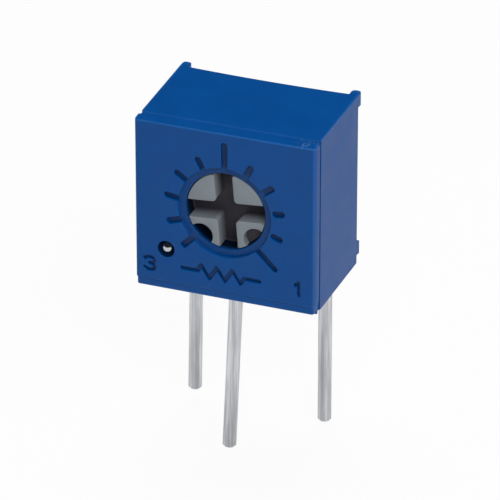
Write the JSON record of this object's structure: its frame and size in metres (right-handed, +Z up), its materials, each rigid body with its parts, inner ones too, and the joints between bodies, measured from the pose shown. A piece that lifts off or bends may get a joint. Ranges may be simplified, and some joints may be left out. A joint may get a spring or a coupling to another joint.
{
  "type": "trimmer potentiometer",
  "caption": "Square single-turn trimmer potentiometer with a side-adjust cross-slot rotor, a sealed moulded case and three round solder leads.",
  "frame": {"origin": "on the board plane, where the middle lead (terminal 2) leaves the case", "axes": "+Z up from the board, -Y out of the adjusting face, +X towards terminal 1"},
  "size_m": [0.007, 0.0049, 0.0135],
  "materials": {
    "blue_case": "satin moulded blue plastic",
    "grey_rotor": "satin moulded light grey plastic",
    "seal_rubber": "smooth silicone rubber",
    "spring_metal": "rolled spring alloy",
    "ceramic": "fired white ceramic",
    "resistor_film": "fired black resistive film",
    "silver_film": "fired silver film",
    "tinned_lead": "tinned drawn copper wire",
    "solder": "bright solder",
    "blue_epoxy": "cast epoxy with a soft meniscus",
    "ball_steel": "polished steel"
  },
  "bodies": {
    "case": {"housing": "blue_case", "substrate": "ceramic", "resistor_track": "resistor_film", "collector_track": "silver_film", "end_pad_1": "silver_film", "end_pad_3": "silver_film", "terminal_1": "tinned_lead", "terminal_2": "tinned_lead", "terminal_3": "tinned_lead", "solder_1": "solder", "solder_2": "solder", "solder_3": "solder", "back_seal": "blue_epoxy", "vent_ball": "ball_steel"},
    "rotor_body": {"rotor": "grey_rotor", "rotor_seal": "seal_rubber", "wiper": "spring_metal"}
  },
  "joints": [
    {"name": "rotor_turn", "type": "hinge", "parent": "case", "child": "rotor_body", "pos_m": [0, -0.001, 0.00367], "axis": [0, 1, 0], "range_deg": [-130, 139]}
  ]
}
